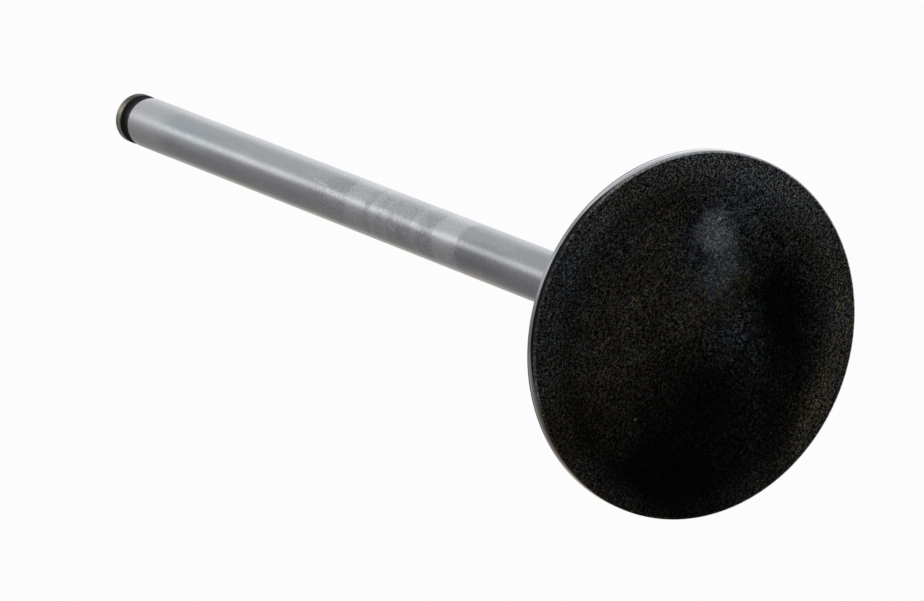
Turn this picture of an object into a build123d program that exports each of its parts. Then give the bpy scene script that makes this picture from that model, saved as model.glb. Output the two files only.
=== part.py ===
from build123d import *
import math
import os

# A poppet valve for a four-stroke piston engine, forged and turned as one piece.
# Lengths are in millimetres, angles in degrees.
# The valve stands on the flat ring of its head at z = 0, and +Z runs up the stem to the tip.

# Head, from the flat ring upwards
head_diameter = 37.0
edge_radius = 0.25          # round between the combustion face and the margin
margin_height = 0.83        # plain ground band between the edge round and the seat
seat_angle = 45.0           # seat cone, measured from the plane of the head
seat_width = 2.2            # width of the ground seat, along its cone

# Combustion face: a shallow dish inside a flat ring
face_ring_width = 4.1
dish_depth = 1.2
dish_rim_radius = 6.0       # soft edge where the dish meets the ring

# Underhead: a shallow cone swept into the stem by a large neck radius
back_angle = 20.0           # cone behind the seat, measured from the plane of the head
neck_radius = 14.0

# Stem and its keeper end
overall_length = 118.3
stem_diameter = 5.5
groove_width = 1.8          # keeper groove, along the stem
groove_depth = 0.5
groove_edge_radius = 0.12   # small round on both lips of the groove
tip_land_height = 0.83      # plain band between the groove and the tip chamfer
tip_chamfer = 0.5

# Sizes that follow from the ones above
head_radius = head_diameter / 2
stem_radius = stem_diameter / 2
dish_radius = head_radius - face_ring_width

margin_top = edge_radius + margin_height
seat_inner_radius = head_radius - seat_width * math.cos(math.radians(seat_angle))
seat_top = margin_top + seat_width * math.sin(math.radians(seat_angle))
back_cone_rise = (seat_inner_radius - stem_radius) * math.tan(math.radians(back_angle))
neck_corner_height = seat_top + back_cone_rise

land_top = overall_length - tip_chamfer
groove_top = land_top - tip_land_height
groove_bottom = groove_top - groove_width
groove_floor_radius = stem_radius - groove_depth

# Corners of the section that get a round, as (radius from the axis, height)
dish_rim = (dish_radius, 0)
face_edge = (head_radius, 0)
neck_corner = (stem_radius, neck_corner_height)
groove_lips = [(stem_radius, groove_bottom), (stem_radius, groove_top)]
tip_edge = (stem_radius, overall_length)


def corner(section, point):
    """The corner of the section that lies at a point."""
    return section.vertices().sort_by_distance(point)[0]


with BuildPart() as engine_valve:
    with BuildSketch(Plane.XZ) as half_section:
        with BuildLine():
            # Combustion face, dished from the centre out to the flat ring
            TangentArc((0, dish_depth), dish_rim, tangent=(1, 0))
            Line(dish_rim, face_edge)
            # Margin, seat and the cone behind it
            Line(face_edge, (head_radius, margin_top))
            Line((head_radius, margin_top), (seat_inner_radius, seat_top))
            Line((seat_inner_radius, seat_top), neck_corner)
            # Stem, keeper groove and tip
            Line(neck_corner, groove_lips[0])
            ThreePointArc(
                groove_lips[0],
                (groove_floor_radius, (groove_bottom + groove_top) / 2),
                groove_lips[1],
            )
            Line(groove_lips[1], tip_edge)
            Line(tip_edge, (0, overall_length))
            # The axis closes the half section
            Line((0, overall_length), (0, dish_depth))
        make_face()
        fillet(corner(half_section, dish_rim), dish_rim_radius)
        fillet(corner(half_section, face_edge), edge_radius)
        fillet(corner(half_section, neck_corner), neck_radius)
        fillet([corner(half_section, lip) for lip in groove_lips], groove_edge_radius)
        chamfer(corner(half_section, tip_edge), tip_chamfer)
    revolve(axis=Axis.Z)

engine_valve.part.label = "engine_valve"

os.makedirs("parts", exist_ok=True)
export_step(engine_valve.part, "parts/engine_valve.step")
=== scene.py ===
import math

import bmesh
import bpy
from mathutils import Matrix, Vector


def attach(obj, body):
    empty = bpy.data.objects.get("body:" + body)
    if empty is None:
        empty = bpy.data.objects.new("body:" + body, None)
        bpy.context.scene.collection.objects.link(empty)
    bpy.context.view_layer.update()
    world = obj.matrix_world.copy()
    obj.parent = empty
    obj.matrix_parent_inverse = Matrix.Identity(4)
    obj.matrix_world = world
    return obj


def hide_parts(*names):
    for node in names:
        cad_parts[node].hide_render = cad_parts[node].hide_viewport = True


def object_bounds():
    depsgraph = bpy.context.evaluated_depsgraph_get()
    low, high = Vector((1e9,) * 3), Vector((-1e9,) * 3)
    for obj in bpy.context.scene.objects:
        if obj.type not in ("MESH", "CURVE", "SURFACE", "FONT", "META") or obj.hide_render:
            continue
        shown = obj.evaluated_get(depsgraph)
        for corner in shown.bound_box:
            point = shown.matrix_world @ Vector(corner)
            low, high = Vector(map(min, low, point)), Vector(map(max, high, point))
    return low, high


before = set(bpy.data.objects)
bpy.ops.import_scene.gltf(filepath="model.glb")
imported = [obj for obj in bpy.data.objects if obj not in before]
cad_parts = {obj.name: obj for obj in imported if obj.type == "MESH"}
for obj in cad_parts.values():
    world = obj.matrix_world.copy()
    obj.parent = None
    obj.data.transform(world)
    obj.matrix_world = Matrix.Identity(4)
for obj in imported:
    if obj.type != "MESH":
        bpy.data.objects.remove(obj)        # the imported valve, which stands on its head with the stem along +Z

cadLow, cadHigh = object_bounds()
mm = 0.001
degrees = 180 / math.pi      # in one radian
headRadius = (cadHigh.x - cadLow.x) / 2 / mm
tipHeight = cadHigh.z / mm
print("frame loaded, valve", round((cadHigh.z - cadLow.z) / mm, 2), "mm tall")


class Signal:
    # one socket of a node tree: + - and * on it add Math nodes, and make() adds any other node
    def __init__(self, tree, socket=None):
        self.tree = tree
        self.socket = socket

    def make(self, kind, settings=None, inputs=None, output=0):
        node = self.tree.nodes.new(kind)
        for name, value in (settings or {}).items():
            setattr(node, name, value)
        for name, value in (inputs or {}).items():
            if isinstance(value, Signal):
                self.tree.links.new(value.socket, node.inputs[name])
            else:
                node.inputs[name].default_value = value
        return Signal(self.tree, node.outputs[output] if node.outputs else None)

    def math(self, operation, other=0.0, swapped=False):
        first, second = (other, self) if swapped else (self, other)
        return self.make("ShaderNodeMath", {"operation": operation}, {0: first, 1: second})

    def __add__(self, other):
        return self.math("ADD", other)

    def __sub__(self, other):
        return self.math("SUBTRACT", other)

    def __mul__(self, other):
        return self.math("MULTIPLY", other)

    def __radd__(self, other):
        return self.math("ADD", other, swapped=True)

    def __rsub__(self, other):
        return self.math("SUBTRACT", other, swapped=True)

    def __rmul__(self, other):
        return self.math("MULTIPLY", other, swapped=True)

    def rise(self, low, high):
        # 0 below low and 1 above high, with a soft step between
        limits = {"Value": self, "From Min": low, "From Max": high}
        return self.make("ShaderNodeMapRange", {"interpolation_type": "SMOOTHSTEP"}, limits)

    def band(self, low, high, blur):
        # 1 between low and high, fading over blur at each end
        return self.rise(low - blur / 2, low + blur / 2) * (1 - self.rise(high - blur / 2, high + blur / 2))

    def blend(self, first, second):
        # a colour that goes from first to second as this value goes from 0 to 1
        colours = {"Factor": self, 6: rgba(first), 7: rgba(second)}
        return self.make("ShaderNodeMix", {"data_type": "RGBA"}, colours, output=2)

    def vectorMath(self, operation, *others, output=0):
        inputs = dict(enumerate((self, *others)))
        return self.make("ShaderNodeVectorMath", {"operation": operation}, inputs, output)

    def scaledBy(self, factors):
        # a vector, each of its parts times its own factor
        return self.vectorMath("MULTIPLY", factors)

    def parts(self):
        # the X, Y and Z of a vector
        split = self.make("ShaderNodeSeparateXYZ", {}, {"Vector": self}).socket.node
        return [Signal(self.tree, socket) for socket in split.outputs]

    def noise(self, scale, detail, roughness):
        settings = {"Vector": self, "Scale": scale, "Detail": detail, "Roughness": roughness}
        return self.make("ShaderNodeTexNoise", {"noise_dimensions": "3D"}, settings)


def rgba(colour):
    return colour if isinstance(colour, Signal) else (*colour, 1.0)


# the valve's own sizes, in millimetres and degrees; its height and head come from the frame
valveSizes = {
    "edgeRound": 0.25,
    "marginHeight": 1.10,
    "seatAngle": 45.0,
    "seatWidth": 1.82,
    "faceRing": 4.1,
    "dishDepth": 1.2,
    "dishRimEase": 0.5,
    "backAngle": 20.0,
    "neckRadius": 14.0,
    "stemRadius": 2.75,
    "groundFrom": 21.0,        # height where the grinding of the stem starts
    "grooveWidth": 1.8,
    "grooveDepth": 0.5,
    "grooveLipEase": 0.07,
    "tipLand": 0.83,
    "tipChamfer": 0.5,
    # spans of each arc, cuts in each straight run and spans of each eased corner
    "dishSpans": 28,
    "ringCuts": 7,
    "marginCuts": 3,
    "coneCuts": 5,
    "neckSpans": 32,
    "darkStemCuts": 2,
    "groundStemCuts": 46,
    "grooveSpans": 18,
    "tipCuts": 3,
    "edgeSpans": 6,
    "lipSpans": 4,
    "slicesRound": 256,
    "hardCorner": 24.0,        # corners that turn by more than this stay crisp
}


def edgeHeights(size):
    # the heights where one finish gives way to the next: margin, seat and both lips of the groove
    marginTop = size["edgeRound"] + size["marginHeight"]
    seatTop = marginTop + size["seatWidth"] * math.sin(math.radians(size["seatAngle"]))
    grooveTop = tipHeight - size["tipChamfer"] - size["tipLand"]
    return marginTop, seatTop, grooveTop - size["grooveWidth"], grooveTop


def lineTo(section, start, radius, height, cuts):
    # a straight run of the half section, in equal steps
    end = Vector((radius, 0, height))
    step = (end - start.co) / (cuts + 1)
    for number in range(cuts + 1):
        point = section.verts.new(start.co + step)
        section.edges.new((start, point))
        start = point
    return start


def arcTo(section, start, centreRadius, centreHeight, turn, steps):
    # swings the last point of the half section about a centre, leaving an arc behind it
    swung = bmesh.ops.spin(
        section,
        geom=[start],
        cent=(centreRadius, 0, centreHeight),
        axis=(0, 1, 0),
        angle=turn,
        steps=steps,
        use_duplicate=False,
    )
    return next(item for item in swung["geom_last"] if isinstance(item, bmesh.types.BMVert))


def easeCorner(section, point, offset, segments):
    bmesh.ops.bevel(
        section,
        geom=[point],
        offset=offset,
        offset_type="OFFSET",
        affect="VERTICES",
        segments=segments,
        profile=0.5,
        material=-1,
    )


def drawHalfSection(section, size):
    # the outline from the middle of the combustion face, round the rim and up to the tip
    marginTop, seatTop, grooveLow, grooveTop = edgeHeights(size)
    stemRadius = size["stemRadius"]
    backAngle = math.radians(size["backAngle"])

    dishRadius = headRadius - size["faceRing"]
    ballRadius = (dishRadius**2 + size["dishDepth"] ** 2) / (2 * size["dishDepth"])
    dishTurn = math.asin(dishRadius / ballRadius)
    middle = section.verts.new((0, 0, size["dishDepth"]))
    dishRim = arcTo(section, middle, 0, size["dishDepth"] - ballRadius, dishTurn, size["dishSpans"])
    faceEdge = lineTo(section, dishRim, headRadius, 0, size["ringCuts"])
    marginEdge = lineTo(section, faceEdge, headRadius, marginTop, size["marginCuts"])
    seatRadius = headRadius - size["seatWidth"] * math.cos(math.radians(size["seatAngle"]))
    seatEdge = lineTo(section, marginEdge, seatRadius, seatTop, size["coneCuts"])

    # the cone behind the seat runs to where the neck's sweep into the stem begins
    neckTurn = math.pi / 2 - backAngle
    cornerHeight = seatTop + (seatRadius - stemRadius) * math.tan(backAngle)
    reach = size["neckRadius"] * math.tan(neckTurn / 2)
    coneRadius = stemRadius + reach * math.cos(backAngle)
    coneTop = cornerHeight - reach * math.sin(backAngle)
    neckStart = lineTo(section, seatEdge, coneRadius, coneTop, size["coneCuts"])
    neckCentre = stemRadius + size["neckRadius"]
    neckEnd = arcTo(section, neckStart, neckCentre, cornerHeight + reach, neckTurn, size["neckSpans"])
    groundStart = lineTo(section, neckEnd, stemRadius, size["groundFrom"], size["darkStemCuts"])
    lowLip = lineTo(section, groundStart, stemRadius, grooveLow, size["groundStemCuts"])

    grooveRadius = ((size["grooveWidth"] / 2) ** 2 + size["grooveDepth"] ** 2) / (2 * size["grooveDepth"])
    grooveTurn = 2 * math.asin(size["grooveWidth"] / 2 / grooveRadius)
    grooveCentre = stemRadius - size["grooveDepth"] + grooveRadius
    grooveMiddle = (grooveLow + grooveTop) / 2
    highLip = arcTo(section, lowLip, grooveCentre, grooveMiddle, grooveTurn, size["grooveSpans"])
    tipEdge = lineTo(section, highLip, stemRadius, tipHeight, size["tipCuts"])
    lineTo(section, tipEdge, 0, tipHeight, size["tipCuts"])

    easeCorner(section, dishRim, size["dishRimEase"], size["edgeSpans"])
    easeCorner(section, faceEdge, size["edgeRound"], size["edgeSpans"])
    easeCorner(section, lowLip, size["grooveLipEase"], size["lipSpans"])
    easeCorner(section, highLip, size["grooveLipEase"], size["lipSpans"])
    easeCorner(section, tipEdge, size["tipChamfer"], 1)


def sortByPoints(section):
    # a spin leaves its edges and faces in another order each time, so they follow their points
    section.verts.index_update()
    pointCount = len(section.verts)

    def rank(item):
        numbers = [point.index for point in item.verts]
        return min(numbers) * pointCount + max(numbers)

    section.edges.sort(key=rank)
    section.faces.sort(key=rank)


def buildValve(size):
    section = bmesh.new()
    drawHalfSection(section, size)
    bmesh.ops.spin(
        section,
        geom=section.verts[:] + section.edges[:],
        cent=(0, 0, 0),
        axis=(0, 0, 1),
        angle=2 * math.pi,
        steps=size["slicesRound"],
        use_merge=True,
    )
    bmesh.ops.remove_doubles(section, verts=section.verts[:], dist=0.0005)
    sortByPoints(section)
    bmesh.ops.recalc_face_normals(section, faces=section.faces[:])
    bmesh.ops.transform(section, matrix=Matrix.Scale(mm, 4), verts=section.verts[:])

    # each zone takes its own finish: 0 for the face that looks down, then one more at each height
    marginTop, seatTop, grooveLow, grooveTop = edgeHeights(size)
    zoneTops = [marginTop, seatTop, size["groundFrom"], grooveLow, grooveTop]
    for face in section.faces:
        up = face.calc_center_median().z / mm
        onFace = face.normal.z < -0.02 and up < size["dishDepth"] + 0.01
        face.material_index = 0 if onFace else 1 + sum(up >= top for top in zoneTops)
        face.smooth = True
    for edge in section.edges:
        if edge.is_manifold and edge.calc_face_angle() > math.radians(size["hardCorner"]):
            edge.smooth = False
    mesh = bpy.data.meshes.new("valve_body")
    section.to_mesh(mesh)
    section.free()
    piece = bpy.data.objects.new("valve_body", mesh)
    bpy.context.scene.collection.objects.link(piece)
    return piece


def startMaterial(name):
    material = bpy.data.materials.new(name)
    material.use_nodes = True
    material.node_tree.nodes.clear()
    return material, Signal(material.node_tree)


def finishMaterial(paint, surface):
    shader = paint.make("ShaderNodeBsdfPrincipled", {}, surface)
    paint.make("ShaderNodeOutputMaterial", {}, {"Surface": shader})


def place(paint):
    # object coordinates in millimetres
    return paint.make("ShaderNodeTexCoord", {}, {}, output="Object").scaledBy((1 / mm, 1 / mm, 1 / mm))


def turnRound(x, y):
    # radians round the valve, from -Y towards +X
    return x.math("ARCTAN2", 0 - y)


def streaks(point, around, along, detail, roughness):
    # a noise that is drawn out round the valve, or along it
    return point.scaledBy((around, around, along)).noise(1.0, detail, roughness)


def drifted(point, moved, scale, reach):
    # moved, shifted about by a slow noise, so that the ovals drawn on it come out uneven
    drift = point.make(
        "ShaderNodeTexNoise",
        {"noise_dimensions": "3D"},
        {"Vector": point, "Scale": scale},
        output="Color",
    )
    shifted = drift.vectorMath("MULTIPLY_ADD", (reach, reach, 0), moved)
    return shifted.vectorMath("SUBTRACT", (reach / 2, reach / 2, 0))


def spot(point, middle, halves, tilt):
    # 1 in the middle of a soft oval across X and Y, and 0 from its edge outwards
    centre = (*middle, 0)
    turned = point.make(
        "ShaderNodeVectorRotate",
        {"rotation_type": "Z_AXIS"},
        {"Vector": point, "Center": centre, "Angle": math.radians(tilt)},
    )
    ring = turned.vectorMath("SUBTRACT", centre).scaledBy((1 / halves[0], 1 / halves[1], 0))
    return 1 - ring.vectorMath("LENGTH", output="Value").rise(0.25, 1.25)


def bump(height, strength, distance):
    settings = {"Height": height, "Strength": strength, "Distance": distance * mm}
    return height.make("ShaderNodeBump", {}, settings)


# in all the finishes, a noise has its number to a millimetre, detail and roughness, streaks have
# their number round and along the valve, detail and roughness, and a bump its strength and depth
blackFinish = {
    "warmTone": (0.0170, 0.0142, 0.0100),
    "coolTone": (0.0125, 0.0138, 0.0160),
    "filmTints": ((1.12, 0.95, 1.12), (0.84, 1.09, 0.86)),   # a thin film over those tones
    "roughness": 0.42,
    "sheen": 0.010,            # how strongly the dark skin mirrors, where plain plastic has 0.5
    "grain": (2.8, 4.0, 0.75),
    "fineGrain": (5.6, 2.0, 0.6),
    "mottle": (0.85, 3.0, 0.65),
    "cloud": (0.22, 3.0, 0.6),
    "coolness": (1.6, 2.0, 0.6),
    "film": (1.8, 2.0, 0.6),
    "bump": (0.35, 0.05),
    "drift": (0.3, 4.0),       # how fast the shift of the stains changes, and how far it goes
    "speckle": 12.5,           # how strongly the grains differ, and how light they are on average
    "speckleLevel": 0.84,
    "glintFrom": 1.4,          # grains lighter than this glint, and by how much
    "glint": 0.14,
    # painted shade in the recessed dish: how light the dish is painted beside the flat ring, and the radii
    # between which they blend
    "shadedDishShare": 0.54,
    "dishBlend": (14.9, 16.7),
    # stains and painted light and shade: middle across X and Y, half sizes, turn in degrees, how much lighter,
    # how much cooler.
    # The dark crescent in the dish and the darker face and ring towards -X and +Y are painted shade, the lighter
    # ring towards +X is painted light, and the rest is the skin's own uneven tone and tint
    "stainsAndPaintedShading": [
        ((5.4, 9.0), (4.0, 8.8), -46, -0.92, 0.2),
        ((-8.6, 4.8), (11.0, 11.0), 0, -0.84, 0.2),
        ((-14.0, 1.5), (5.5, 13.0), -10, -0.86, 0.0),
        ((-5.0, 4.0), (3.6, 3.6), 0, -0.45, 0.0),
        ((-12.5, -10.0), (4.5, 6.0), 35, -0.38, -0.8),
        ((-12.0, -4.0), (2.8, 2.8), 0, 1.7, -0.5),
        ((-4.0, 12.8), (10.0, 2.6), 20, -0.58, 0.0),
        ((0.3, -4.2), (2.2, 2.4), 0, -0.38, 0.0),
        ((8.5, -7.5), (3.0, 3.2), 0, 0.42, 0.0),
        ((5.0, -16.0), (6.0, 3.0), 0, 0.30, 0.2),
        ((1.0, 4.6), (3.2, 2.4), 0, 0.50, 0.3),
        ((12.5, 0.6), (2.6, 2.6), 0, 0.30, 0.3),
        ((-2.5, -6.0), (11.5, 8.0), 0, 0.20, -0.7),
        ((-4.0, 15.6), (7.0, 2.6), 0, 0.45, -0.9),
        ((2.0, 8.0), (5.0, 4.0), 0, 0.15, 0.6),
        ((16.0, -2.0), (4.5, 13.0), 0, 0.52, 0.5),
        ((5.0, 16.0), (9.0, 3.0), 0, 0.30, -0.2),
        ((-1.5, -16.5), (9.0, 2.6), 0, 0.0, 0.5),
        ((11.0, -8.0), (4.0, 5.0), 0, -0.20, -0.3),
        ((9.5, -1.5), (5.0, 5.0), 0, 0.0, 1.0),
    ],
    # painted highlights on top of the grain: the soft highlight on the dish with its halo and a faint broad one,
    # and two small
    # bright flecks, a scratch and a speck: middle, half sizes, turn in degrees and strength
    "paintedHighlightsAndFlecks": [
        ((10.2, -1.7), (2.3, 2.4), 30, 2.25),
        ((8.2, 0.0), (4.8, 2.7), 30, 1.15),
        ((11.6, -2.2), (0.14, 0.5), 35, 5.0),
        ((-9.8, -2.8), (0.15, 0.15), 0, 5.0),
        ((3.0, -0.5), (6.0, 3.5), 0, 0.15),
    ],
    # the round edge has lost its skin: the radii where the bare steel starts and is whole, its colour, and
    # how much of it is still covered by the painted dark reflection and where the edge is stained
    "bareRadii": (18.26, 18.42),
    "bareSteel": (0.42, 0.42, 0.43),
    "coveredByPaintedReflection": 0.85,
    "coverFade": 30,
    "coveredByStain": 0.7,
}


def blackFace():
    material, paint = startMaterial("black_oxide_face")
    point = place(paint)
    x, y = point.parts()[:2]
    across = x * x + y * y
    grain = point.noise(*blackFinish["grain"])
    fine = point.noise(*blackFinish["fineGrain"])
    mottle = point.noise(*blackFinish["mottle"])
    cloud = point.noise(*blackFinish["cloud"])
    coolness = point.noise(*blackFinish["coolness"])
    shifted = drifted(point, point, *blackFinish["drift"])

    # how light and how cool the skin is from place to place: its own uneven tone and tint, with painted shade in
    # the dish and the painted light and shade of the spots
    # the dish is painted darker than the ring, as painted shade in the recess
    dishEnd, ringStart = blackFinish["dishBlend"]
    ring = across.rise(dishEnd**2, ringStart**2)
    toneAndPaintedShading = ring * (1 - blackFinish["shadedDishShare"]) + blackFinish["shadedDishShare"]
    cool = cloud + (coolness - 0.5) * 2.6
    # most of these spots are painted light and shade, copied from how the face mirrors its surroundings
    for middle, halves, tilt, lighter, cooler in blackFinish["stainsAndPaintedShading"]:
        oval = spot(shifted, middle, halves, tilt)
        toneAndPaintedShading = (oval * lighter + 1) * toneAndPaintedShading
        cool = oval * (cooler * 0.5) + cool
    # the painted highlight on the dish, with the small flecks
    paintedHighlightAndFlecks = 0.0
    for middle, halves, tilt, strength in blackFinish["paintedHighlightsAndFlecks"]:
        fleck = halves[0] < 1        # the smallest stay sharp and in their places
        paintedHighlightAndFlecks = spot(point if fleck else shifted, middle, halves, tilt) * strength + paintedHighlightAndFlecks

    # the grains of the blasted skin
    speckle = (grain * 0.6 + fine * 0.4 - 0.5) * blackFinish["speckle"] + blackFinish["speckleLevel"]
    glints = (speckle - blackFinish["glintFrom"]).math("MAXIMUM", 0.0)
    speckle = speckle.math("MAXIMUM", 0.0)
    speckle = speckle * (speckle * 0.35 + 0.65)
    amount = (toneAndPaintedShading * (cloud * 0.7 + 0.65)) * (mottle * 1.5 + 0.25) * speckle
    amount = amount + paintedHighlightAndFlecks * (speckle * 0.45 + 0.55) + glints * blackFinish["glint"]
    tone = cool.rise(0.15, 0.85).blend(blackFinish["warmTone"], blackFinish["coolTone"])
    film = point.noise(*blackFinish["film"]).rise(0.3, 0.7).blend(*blackFinish["filmTints"])
    tone = tone.scaledBy(film)
    skin = paint.make("ShaderNodeVectorMath", {"operation": "SCALE"}, {0: tone, "Scale": amount})

    # bare steel along the rim, kept black on the side facing -Y by the painted dark reflection
    turn = turnRound(x, y) * degrees
    kept = 1 - turn.band(*marginFinish["paintedReflectionTurn"], blackFinish["coverFade"]) * blackFinish["coveredByPaintedReflection"]
    stained = turn.band(*marginFinish["stainTurn"], marginFinish["stainFade"])
    steel = stained.blend(blackFinish["bareSteel"], marginFinish["stain"])
    bareStart, bareWhole = blackFinish["bareRadii"]
    bare = across.rise(bareStart**2, bareWhole**2) * kept * (cloud + 0.3)
    bare = bare * (1 - stained * blackFinish["coveredByStain"]) * (speckle * 0.6 + 0.4)
    finishMaterial(paint, {
        "Base Color": bare.blend(skin, steel),
        "Metallic": bare,
        "Specular IOR Level": blackFinish["sheen"],
        "Roughness": blackFinish["roughness"] + (cloud - 0.5) * 0.2 + (grain - 0.5) * 0.3,
        "Normal": bump(grain, *blackFinish["bump"]),
    })
    return material


# the turns run from -Y towards +X in degrees, and the heights are in millimetres
marginFinish = {
    "steel": (0.60, 0.60, 0.61),
    "stain": (0.19, 0.152, 0.095),
    "dull": (0.45, 0.455, 0.465),
    "polish": (0.95, 0.95, 0.96),
    "warmPolish": (0.92, 0.84, 0.72),
    "black": (0.006, 0.0055, 0.007),
    "sheen": 0.05,
    "roughness": 0.30,
    "blackRougher": 0.15,
    "polishSmoother": 0.12,
    "skin": (2.5, 3.0, 0.6),
    "lines": (0.15, 7.0, 2.0, 0.6),
    "bump": (0.2, 0.01),
    "lapLow": 0.26,            # height the black skin reaches over the edge, away from the painted dark reflection
    "paintedReflectionHigh": 0.82,           # and the height the painted dark reflection reaches on the side facing -Y
    "blackEdgeBlur": 0.05,
    "blackEdgeWaver": 0.12,
    "paintedReflectionTurn": (-30, 33),
    "paintedReflectionFade": 26,
    "stainTurn": (-125, -38),  # where the steel is stained brown
    "stainFade": 30,
    "dullTurn": (-70, 24),     # where the bright steel is darker
    "dullFade": 16,
    "roughTurn": (-27, 25),    # away from here the steel is polished towards the seat
    "roughFade": 12,
    "polishRise": (0.65, 1.08),   # heights between which the polish sets in
    "edgeLine": 0.15,          # a thin dark line this far under the edge of the seat
    "edgeLineBlur": 0.02,
}


def marginBand():
    # ground steel between the edge and the seat: the black skin covers its lowest edge, and on the side facing
    # -Y a painted dark reflection reaches higher; its upper side is polished, with a thin dark line by the seat
    material, paint = startMaterial("ground_margin")
    point = place(paint)
    x, y, z = point.parts()
    turn = turnRound(x, y) * degrees
    skin = point.noise(*marginFinish["skin"])
    lines = streaks(point, *marginFinish["lines"])
    # painted dark reflection: the black reaches higher on the side facing -Y
    reach = marginFinish["paintedReflectionHigh"] - marginFinish["lapLow"]
    skinAndPaintedReflectionTop = turn.band(*marginFinish["paintedReflectionTurn"], marginFinish["paintedReflectionFade"]) * reach + marginFinish["lapLow"]
    skinAndPaintedReflectionTop = skinAndPaintedReflectionTop + (skin - 0.5) * marginFinish["blackEdgeWaver"]
    black = 1 - (z - skinAndPaintedReflectionTop).rise(-marginFinish["blackEdgeBlur"], marginFinish["blackEdgeBlur"])

    outer = z.rise(*marginFinish["polishRise"])
    dulled = turn.band(*marginFinish["dullTurn"], marginFinish["dullFade"])
    warm = turn.band(*marginFinish["stainTurn"], marginFinish["stainFade"])
    stained = warm * (skin * 0.5 + 0.7) * (1 - outer * 0.9)
    metal = dulled.blend(marginFinish["steel"], marginFinish["dull"])
    metal = stained.blend(metal, marginFinish["stain"])
    polished = (1 - turn.band(*marginFinish["roughTurn"], marginFinish["roughFade"])) * outer
    metal = polished.blend(metal, warm.blend(marginFinish["polish"], marginFinish["warmPolish"]))

    marginTop = edgeHeights(valveSizes)[0]
    lineHeight = marginTop - marginFinish["edgeLine"]
    blur = marginFinish["edgeLineBlur"]
    edgeLine = z.rise(lineHeight - blur, lineHeight + blur) * (polished * 0.65 + 0.25)
    metal = edgeLine.blend(metal, marginFinish["black"])
    roughness = black * marginFinish["blackRougher"] + marginFinish["roughness"]
    roughness = roughness - polished * marginFinish["polishSmoother"] + (lines - 0.5) * 0.2
    finishMaterial(paint, {
        "Base Color": black.blend(metal, marginFinish["black"]),
        "Metallic": (1 - black) * (1 - stained * 0.6),
        "Specular IOR Level": marginFinish["sheen"],
        "Roughness": roughness,
        "Normal": bump(lines, *marginFinish["bump"]),
    })
    return material


seatFinish = {
    "bright": (0.66, 0.66, 0.65),
    "dull": (0.5808, 0.5808, 0.572),
    "roughness": 0.24,
    "blotch": (0.5, 2.0, 0.5),
    "lines": (0.15, 9.0, 2.0, 0.6),
    "bump": (0.25, 0.01),
}


def groundSeat():
    # bright ground steel, with fine lines that run round the valve
    material, paint = startMaterial("ground_seat")
    point = place(paint)
    lines = streaks(point, *seatFinish["lines"])
    blotch = point.noise(*seatFinish["blotch"]).rise(0.3, 0.7)
    finishMaterial(paint, {
        "Base Color": blotch.blend(seatFinish["bright"], seatFinish["dull"]),
        "Metallic": 1.0,
        "Roughness": seatFinish["roughness"] + (lines - 0.5) * 0.25,
        "Normal": bump(lines, *seatFinish["bump"]),
    })
    return material


underheadFinish = {
    "warmTone": (0.035, 0.033, 0.031),
    "coolTone": (0.022, 0.023, 0.026),
    "metallic": 0.35,
    "roughness": 0.42,
    "skin": (2.4, 3.0, 0.6),
    "cloud": (0.2, 3.0, 0.5),
    "lines": (0.1, 5.0, 2.0, 0.5),
    "bump": (0.35, 0.04),
}


def darkUnderhead():
    material, paint = startMaterial("dark_underhead")
    point = place(paint)
    lines = streaks(point, *underheadFinish["lines"])
    skin = point.noise(*underheadFinish["skin"])
    cloud = point.noise(*underheadFinish["cloud"]).rise(0.35, 0.65)
    finishMaterial(paint, {
        "Base Color": cloud.blend(underheadFinish["warmTone"], underheadFinish["coolTone"]),
        "Metallic": underheadFinish["metallic"],
        "Roughness": underheadFinish["roughness"] + (skin - 0.5) * 0.3,
        "Normal": bump(lines + skin * 0.6, *underheadFinish["bump"]),
    })
    return material


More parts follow.
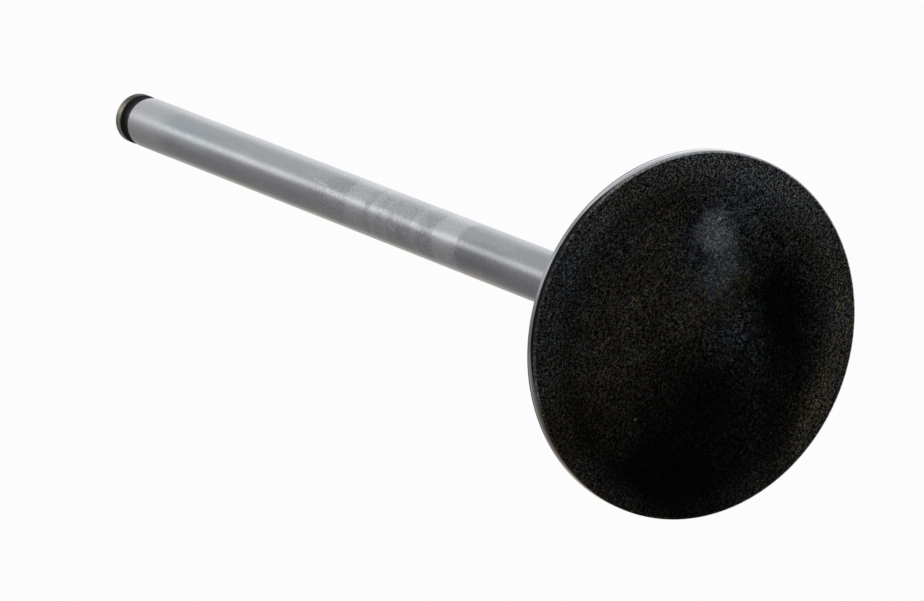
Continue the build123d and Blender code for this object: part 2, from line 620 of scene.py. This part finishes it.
# the heights are in millimetres above the face
stemFinish = {
    "dull": (0.415, 0.422, 0.432),
    "bright": (0.755, 0.758, 0.760),
    "roughness": 0.26,
    # the last few millimetres below the groove are duller and paler
    "tipRoughness": 0.40,
    "tipPaler": 0.28,
    "tipRise": (104.5, 110.5),
    # towards the head the stem is darker
    "headDarker": 0.16,
    "headShade": (41.8, 44.0),
    # the stretch where the grain shows most, and its fade
    "handled": (42, 74),
    "handledFade": 6,
    "grain": (5.0, 3.0, 0.75),
    "flecks": (3.2, 2.0, 0.5),
    "ringWear": (0.9, 3.0, 0.6),
    "ringWaver": (0.5, 4.0, 0.7),
    "waver": 1.8,              # how far the ends of the rings waver
    "cloud": (0.6, 0.16, 3.0, 0.5),
    "lines": (0.4, 8.0, 2.0, 0.6),
    "bump": (0.10, 0.012),
    "drift": (1.1, 1.2),       # how fast the shift of the rubs and painted highlight streaks changes, and how far it goes
    # rings rubbed by the guide: low and high end, fade, and how much brighter
    "rings": [
        (62.5, 66.5, 0.5, 0.42),
        (59.9, 61.1, 0.6, 0.36),
        (57.5, 58.3, 0.5, 0.26),
        (51.3, 52.3, 0.5, 0.34),
        (43.2, 47.8, 1.0, 0.60),
    ],
    # rubs and smudges, and the painted highlight streaks at 88 and 103 mm that widen the bright line down the
    # stem: middle as the run round the stem from -Y towards +X and the height, both in millimetres, then half
    # sizes, turn in degrees, and how much brighter
    "rubsAndPaintedHighlights": [
        ((0.66, 72.4), (0.10, 1.7), 3, 3.2),
        ((0.15, 70.4), (0.26, 0.28), 0, 2.2),
        ((1.5, 69.0), (1.4, 3.6), 0, -0.32),
        ((-0.3, 72.0), (0.8, 1.8), 0, -0.25),
        ((0.1, 61.9), (0.40, 0.60), 0, -0.85),
        ((0.3, 59.1), (0.30, 0.34), 0, 1.9),
        ((0.0, 58.8), (0.36, 0.50), 0, -0.50),
        ((0.1, 56.8), (0.45, 0.80), 0, -0.75),
        ((-1.1, 56.1), (0.18, 0.9), 25, 0.9),
        ((-1.4, 54.6), (1.2, 1.0), 0, -0.22),
        ((0.0, 50.9), (0.30, 0.6), 0, 0.35),
        ((0.1, 49.5), (0.50, 1.9), 0, -0.70),
        ((1.3, 49.4), (0.75, 1.5), 8, -0.28),
        ((0.2, 54.5), (0.4, 1.2), 0, -0.25),
        ((0.1, 45.3), (1.2, 1.9), 0, 0.40),
        ((0.2, 38.0), (0.9, 6.0), 0, -0.35),
        ((-1.2, 38.5), (1.0, 6.5), 0, -0.40),
        ((1.5, 38.0), (1.0, 6.5), 0, 0.20),
        ((-3.0, 38.0), (0.9, 6.5), 0, 0.50),
        # painted highlight: these two long streaks widen the bright line down the stem
        ((-0.45, 103.0), (0.75, 8.0), 0, 0.55),
        ((-0.25, 88.0), (0.45, 11.0), 0, 0.30),
    ],
    # a slightly cooler patch below the groove: middle, half sizes and tint
    "coolPatch": ((0.9, 103.0), (1.8, 9.0)),
    "coolTint": (0.94, 1.0, 0.995),
}


def satinStem():
    material, paint = startMaterial("satin_stem")
    point = place(paint)
    x, y, z = point.parts()
    around = turnRound(x, y) * valveSizes["stemRadius"]
    wrapped = paint.make("ShaderNodeCombineXYZ", {}, {"X": around, "Y": z})
    shifted = drifted(point, wrapped, *stemFinish["drift"])
    grain = point.noise(*stemFinish["grain"])
    flecks = point.noise(*stemFinish["flecks"]).rise(0.60, 0.72)
    cloud = streaks(point, *stemFinish["cloud"])
    lines = streaks(point, *stemFinish["lines"])

    # the marks on the stem and the painted highlight streaks, by how much they brighten it
    rubsAndPaintedHighlight = 0.0
    waver = z + (point.noise(*stemFinish["ringWaver"]) - 0.5) * stemFinish["waver"]
    for low, high, fade, brighter in stemFinish["rings"]:
        rubsAndPaintedHighlight = waver.band(low, high, fade) * brighter + rubsAndPaintedHighlight
    rubsAndPaintedHighlight = rubsAndPaintedHighlight * (cloud * 0.6 + point.noise(*stemFinish["ringWear"]) * 1.4)
    for middle, halves, tilt, brighter in stemFinish["rubsAndPaintedHighlights"]:
        rubsAndPaintedHighlight = spot(shifted, middle, halves, tilt) * brighter + rubsAndPaintedHighlight
    rubsAndPaintedHighlight = rubsAndPaintedHighlight * (0.2 + grain * 2.2)

    handled = z.band(*stemFinish["handled"], stemFinish["handledFade"])
    headward = 1 - z.rise(*stemFinish["headShade"])
    tipward = z.rise(*stemFinish["tipRise"])
    bright = 0.5 + rubsAndPaintedHighlight * 0.39 - headward * stemFinish["headDarker"] + (cloud - 0.5) * 0.25
    bright = bright + (grain - 0.5) * (handled * 1.4 + 0.7) + flecks * (handled * 0.2 + headward * 0.25)
    bright = bright + tipward * stemFinish["tipPaler"]
    steel = bright.rise(0.0, 1.0).blend(stemFinish["dull"], stemFinish["bright"])
    cooled = spot(shifted, *stemFinish["coolPatch"], 0).blend((1, 1, 1), stemFinish["coolTint"])
    dulling = stemFinish["tipRoughness"] - stemFinish["roughness"]
    finishMaterial(paint, {
        "Base Color": steel.scaledBy(cooled),
        "Metallic": 1.0,
        "Roughness": stemFinish["roughness"] + tipward * dulling + (lines - 0.5) * 0.08 + rubsAndPaintedHighlight * 0.05,
        "Normal": bump(grain * 0.35 + lines * 0.7, *stemFinish["bump"]),
    })
    return material


grooveFinish = {
    "black": (0.012, 0.010, 0.009),
    "lowLipGrey": (0.17, 0.155, 0.16),
    "lowLipFade": (0.5, 1.6),     # how far up from the low lip the grey starts to fade and is gone
    "metallic": 0.4,
    "roughness": 0.48,
    "skin": (2.2, 3.0, 0.6),
    "bump": (0.3, 0.03),
}


def darkGroove():
    material, paint = startMaterial("dark_groove")
    point = place(paint)
    z = point.parts()[2]
    skin = point.noise(*grooveFinish["skin"])
    grooveLow = edgeHeights(valveSizes)[2]
    lowLipGrey = 1 - z.rise(*(grooveLow + end for end in grooveFinish["lowLipFade"]))
    shade = (lowLipGrey + (skin - 0.5) * 0.35).rise(0.0, 1.0)
    finishMaterial(paint, {
        "Base Color": shade.blend(grooveFinish["black"], grooveFinish["lowLipGrey"]),
        "Metallic": grooveFinish["metallic"],
        "Roughness": grooveFinish["roughness"] + (skin - 0.5) * 0.2,
        "Normal": bump(skin, *grooveFinish["bump"]),
    })
    return material


tipFinish = {
    "tones": ((0.375, 0.365, 0.275), (0.43, 0.385, 0.32)),
    "darkBrown": (0.085, 0.062, 0.045),
    # the tip is dark brown on this side, in X and Y, from these distances off the middle
    "darkSideDirection": (0.9, -0.25),
    "darkSideRise": (1.1, 2.3),
    "darkSideWaver": 1.2,
    "metallic": 0.9,
    "roughness": 0.42,
    "skin": (3.0, 3.0, 0.6),
    "stain": (0.6, 2.0, 0.5),
    "bump": (0.2, 0.02),
}


def tipSteel():
    material, paint = startMaterial("tip_steel")
    point = place(paint)
    x, y = point.parts()[:2]
    skin = point.noise(*tipFinish["skin"])
    stain = point.noise(*tipFinish["stain"]).rise(0.35, 0.65)
    overX, overY = tipFinish["darkSideDirection"]
    away = x * overX + y * overY + (skin - 0.5) * tipFinish["darkSideWaver"]
    darkBrown = away.rise(*tipFinish["darkSideRise"])
    finishMaterial(paint, {
        "Base Color": darkBrown.blend(stain.blend(*tipFinish["tones"]), tipFinish["darkBrown"]),
        "Metallic": tipFinish["metallic"],
        "Roughness": tipFinish["roughness"] + (skin - 0.5) * 0.25,
        "Normal": bump(skin, *tipFinish["bump"]),
    })
    return material


body = buildValve(valveSizes)
# in the order of the zones, from the combustion face to the tip
for finish in (blackFace, marginBand, groundSeat, darkUnderhead, satinStem, darkGroove, tipSteel):
    body.data.materials.append(finish())
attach(body, "root")
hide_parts("engine_valve")
print("valve body", len(body.data.polygons), "faces,", len(body.data.materials), "finishes")


# the floor shows from above only, so that the head can also be looked at from below
floorLook = {"tone": (0.82, 0.82, 0.81), "glow": (0.19, 0.19, 0.188), "reach": 6.0}


def buildFloor(look):
    sheet = bmesh.new()
    bmesh.ops.create_grid(sheet, x_segments=1, y_segments=1, size=look["reach"])
    mesh = bpy.data.meshes.new("floor")
    sheet.to_mesh(mesh)
    sheet.free()
    floor = bpy.data.objects.new("floor", mesh)
    bpy.context.scene.collection.objects.link(floor)
    material, paint = startMaterial("floor_paper")
    below = paint.make("ShaderNodeNewGeometry", {}, {}, output="Backfacing")
    clear = paint.make("ShaderNodeBsdfTransparent")
    paper = paint.make("ShaderNodeBsdfDiffuse", {}, {"Color": rgba(look["tone"])})
    glow = paint.make("ShaderNodeEmission", {}, {"Color": rgba(look["glow"])})
    paper = paint.make("ShaderNodeAddShader", {}, {0: paper, 1: glow})
    sides = paint.make("ShaderNodeMixShader", {}, {0: below, 1: paper, 2: clear})
    paint.make("ShaderNodeOutputMaterial", {}, {"Surface": sides})
    mesh.materials.append(material)
    floor.visible_diffuse = False
    floor.visible_glossy = False
    floor.visible_shadow = False


buildFloor(floorLook)
print("floor ready")

# the studio's light: all turns run round the valve in degrees, from -Y towards +X, and all heights
# are in degrees above the level
studioLook = {
    "backdrop": (0.985, 0.975, 0.98),
    "dimSide": (0.232, 0.229, 0.237),
    # soft upright panels: middle and half width, fade at each side, strength and tint
    "panels": [
        {"middle": 85, "half": 97, "fade": 26, "strength": 0.34, "tint": (0.955, 1.0, 1.05)},
        {"middle": 5, "half": 10, "fade": 14, "strength": 0.47, "tint": (1.0, 1.0, 1.01)},
        {"middle": -22, "half": 26, "fade": 36, "strength": 0.065, "tint": (1.0, 1.0, 1.0)},
        {"middle": 146, "half": 40, "fade": 48, "strength": 0.38, "tint": (0.98, 1.0, 1.02)},
        {"middle": 206, "half": 20, "fade": 48, "strength": 0.43, "tint": (1.12, 1.0, 0.82)},
    ],
    "floorGlow": (-62, -30),   # heights between which the light from low down fades away
    "nadir": 0.03,
    "behind": (-58, 58),       # turns where the light behind the camera is dark, up to a height
    "behindFade": 40,
    "behindTop": (-22, 12),
    "behindDark": 0.70,
    "floorShine": (0.60, 0.60, 0.60),   # what steel seen from above mirrors of the floor
    "shineHeights": (-52, -34),
}


def buildStudio(look):
    world = bpy.data.worlds.new("studio")
    bpy.context.scene.world = world
    world.use_nodes = True
    world.node_tree.nodes.clear()
    paint = Signal(world.node_tree)
    x, y, z = paint.make("ShaderNodeTexCoord", {}, {}, output="Generated").parts()
    turn = turnRound(x, y) * degrees
    height = z.math("ARCSINE") * degrees
    light = look["dimSide"]
    for panel in look["panels"]:
        away = ((turn - panel["middle"] + 540).math("FLOORED_MODULO", 360.0) - 180).math("ABSOLUTE")
        half, fade = panel["half"], panel["fade"]
        share = (1 - away.rise(half - fade / 2, half + fade / 2)) * panel["strength"]
        light = share.blend((0, 0, 0), panel["tint"]).vectorMath("ADD", light)
    low, high = look["floorGlow"]
    strength = height.rise(low, high) * (1 - look["nadir"]) + look["nadir"]
    behind = turn.band(*look["behind"], look["behindFade"]) * (1 - height.rise(*look["behindTop"]))
    strength = strength * (1 - behind * look["behindDark"])
    mirrored = paint.make("ShaderNodeLightPath", {}, {}, output="Is Glossy Ray")
    shine = mirrored * (1 - height.rise(*look["shineHeights"]))
    light = shine.blend(light, look["floorShine"])
    strength = strength * (1 - shine) + shine
    seen = paint.make("ShaderNodeLightPath", {}, {}, output="Is Camera Ray")
    shown = paint.make("ShaderNodeBackground", {}, {"Color": rgba(look["backdrop"])})
    lit = paint.make("ShaderNodeBackground", {}, {"Color": light, "Strength": strength})
    sky = paint.make("ShaderNodeMixShader", {}, {0: seen, 1: lit, 2: shown})
    paint.make("ShaderNodeOutputWorld", {}, {"Surface": sky})


buildStudio(studioLook)

# softboxes, each with its turn and height round the valve in degrees and its distance in metres;
# they light the matt surfaces, and the ground steel mirrors the studio's own panels instead
softboxes = [
    {"name": "overhead", "turn": 40, "height": 72, "distance": 0.9, "size": 0.5, "power": 2.4,
     "aim": (0, 0, 0.06)},
    {"name": "headFill", "turn": 95, "height": -52, "distance": 0.07, "size": 0.02, "power": 0.040,
     "aim": (0.006, -0.001, 0)},
]


def hangSoftbox(box):
    turn, height = math.radians(box["turn"]), math.radians(box["height"])
    away = Vector((math.sin(turn) * math.cos(height), -math.cos(turn) * math.cos(height), math.sin(height)))
    light = bpy.data.lights.new(box["name"], "AREA")
    light.shape = "DISK"
    light.size = box["size"]
    light.energy = box["power"]
    lamp = bpy.data.objects.new(box["name"], light)
    lamp.location = Vector(box["aim"]) + away * box["distance"]
    lamp.rotation_euler = away.to_track_quat("Z", "Y").to_euler()
    lamp.visible_camera = False
    lamp.visible_glossy = False
    bpy.context.scene.collection.objects.link(lamp)


for softbox in softboxes:
    hangSoftbox(softbox)
print("studio ready,", len(softboxes), "softboxes")

# the camera looks up at the head from below the floor, rolled so that the stem points up and left
cameraView = {
    "place": (0.0, -0.446273, -0.658027),
    "aim": (-0.0054235, 0.007611, 0.054258),
    "roll": -68.089,
    "lens": 315.55,
    "sensor": 36.0,
    "nearest": 0.05,
    "farthest": 50.0,
}


def placeCamera(view):
    camera = bpy.data.objects.new("camera", bpy.data.cameras.new("camera"))
    bpy.context.scene.collection.objects.link(camera)
    bpy.context.scene.camera = camera
    start, aim = Vector(view["place"]), Vector(view["aim"])
    level = (aim - start).to_track_quat("-Z", "Y").to_matrix()
    camera.location = start
    camera.rotation_euler = (level @ Matrix.Rotation(math.radians(view["roll"]), 3, "Z")).to_euler()
    camera.data.sensor_width = view["sensor"]
    camera.data.lens = view["lens"]
    camera.data.clip_start = view["nearest"]
    camera.data.clip_end = view["farthest"]


placeCamera(cameraView)
bpy.context.scene.view_settings.view_transform = "Standard"
print("camera ready")
